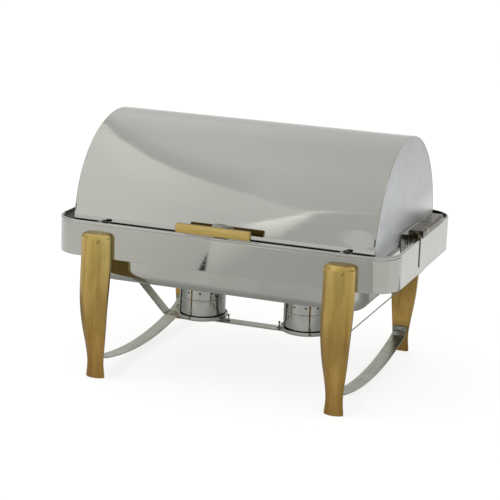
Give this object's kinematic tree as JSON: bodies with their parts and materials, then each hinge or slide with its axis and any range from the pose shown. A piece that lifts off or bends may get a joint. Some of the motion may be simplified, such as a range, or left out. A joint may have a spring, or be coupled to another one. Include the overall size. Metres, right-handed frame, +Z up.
{
  "type": "chafing dish food warmer",
  "caption": "Roll-top chafing dish: a half-cylinder lid that rolls back under the pans, in a rounded steel apron on brass legs, with fuel holders on a strap below.",
  "frame": {"origin": "on the floor, under the middle of the dish", "axes": "+X along the length, +Z up, -Y is the serving side with the handle"},
  "size_m": [0.6566, 0.4624, 0.466],
  "materials": {
    "polished_steel": "mirror-polished stainless steel",
    "pan_steel": "satin stainless steel",
    "strap_steel": "flat bar stainless steel with a fine grain",
    "fastener_steel": "bright machined steel",
    "brass": "polished brass, softly worn",
    "rubber": "matt black rubber"
  },
  "bodies": {
    "stand": {"apron_frame": "polished_steel", "leg_front_left": "brass", "leg_front_right": "brass", "leg_rear_left": "brass", "leg_rear_right": "brass", "leg_screw_front_left": "fastener_steel", "leg_screw_front_right": "fastener_steel", "leg_screw_rear_left": "fastener_steel", "leg_screw_rear_right": "fastener_steel", "stretcher_left": "strap_steel", "stretcher_right": "strap_steel", "stretcher_screw_front_left": "fastener_steel", "stretcher_screw_front_right": "fastener_steel", "stretcher_screw_rear_left": "fastener_steel", "stretcher_screw_rear_right": "fastener_steel", "burner_strap": "strap_steel", "strap_rivet_left": "fastener_steel", "strap_rivet_right": "fastener_steel", "burner_stud_left": "fastener_steel", "burner_stud_right": "fastener_steel", "front_ledge": "strap_steel", "pan_rail_left": "strap_steel", "pan_rail_right": "strap_steel", "hinge_bracket_left": "polished_steel", "hinge_bracket_right": "polished_steel", "hinge_cover_left": "polished_steel", "hinge_cover_right": "polished_steel", "pivot_bolt_left": "fastener_steel", "pivot_bolt_right": "fastener_steel", "pivot_washer_left": "fastener_steel", "pivot_washer_right": "fastener_steel", "pivot_nut_left": "fastener_steel", "pivot_nut_right": "fastener_steel", "lid_bumper_left": "rubber", "lid_bumper_right": "rubber", "bumper_rivet_left": "fastener_steel", "bumper_rivet_right": "fastener_steel"},
    "lid": {"lid_shell": "polished_steel", "lid_end_left": "polished_steel", "lid_end_right": "polished_steel", "lid_hub_left": "strap_steel", "lid_hub_right": "strap_steel", "handle_bar": "brass", "handle_mount": "polished_steel", "handle_screw": "fastener_steel"},
    "water_pan_set": {"water_pan": "polished_steel", "pan_rest_frame": "pan_steel"},
    "food_pan_set": {"food_pan": "pan_steel"},
    "burner_left": {"burner_base_left": "polished_steel", "fuel_cup_left": "polished_steel", "fuel_cover_left": "polished_steel", "damper_pivot_left": "fastener_steel"},
    "damper_left": {"damper_plate_left": "strap_steel", "damper_knob_left": "fastener_steel"},
    "burner_right": {"burner_base_right": "polished_steel", "fuel_cup_right": "polished_steel", "fuel_cover_right": "polished_steel", "damper_pivot_right": "fastener_steel"},
    "damper_right": {"damper_plate_right": "strap_steel", "damper_knob_right": "fastener_steel"}
  },
  "joints": [
    {"name": "lid_roll", "type": "hinge", "parent": "stand", "child": "lid", "pos_m": [0, 0, 0.275], "axis": [-1, 0, 0], "range_deg": [0, 72]},
    {"name": "water_pan_lift", "type": "slide", "parent": "stand", "child": "water_pan_set", "axis": [0, 0, 1], "range_m": [0, 0.03]},
    {"name": "food_pan_lift", "type": "slide", "parent": "water_pan_set", "child": "food_pan_set", "axis": [0, 0, 1], "range_m": [0, 0.045]},
    {"name": "burner_left_lift", "type": "slide", "parent": "stand", "child": "burner_left", "axis": [0, 0, 1], "range_m": [0, 0.008]},
    {"name": "damper_left_swing", "type": "hinge", "parent": "burner_left", "child": "damper_left", "pos_m": [-0.1055, 0.035, 0.1523], "axis": [0, 0, 1], "range_deg": [0, 100]},
    {"name": "burner_right_lift", "type": "slide", "parent": "stand", "child": "burner_right", "axis": [0, 0, 1], "range_m": [0, 0.008]},
    {"name": "damper_right_swing", "type": "hinge", "parent": "burner_right", "child": "damper_right", "pos_m": [0.1055, 0.035, 0.1523], "axis": [0, 0, -1], "range_deg": [0, 100]}
  ]
}
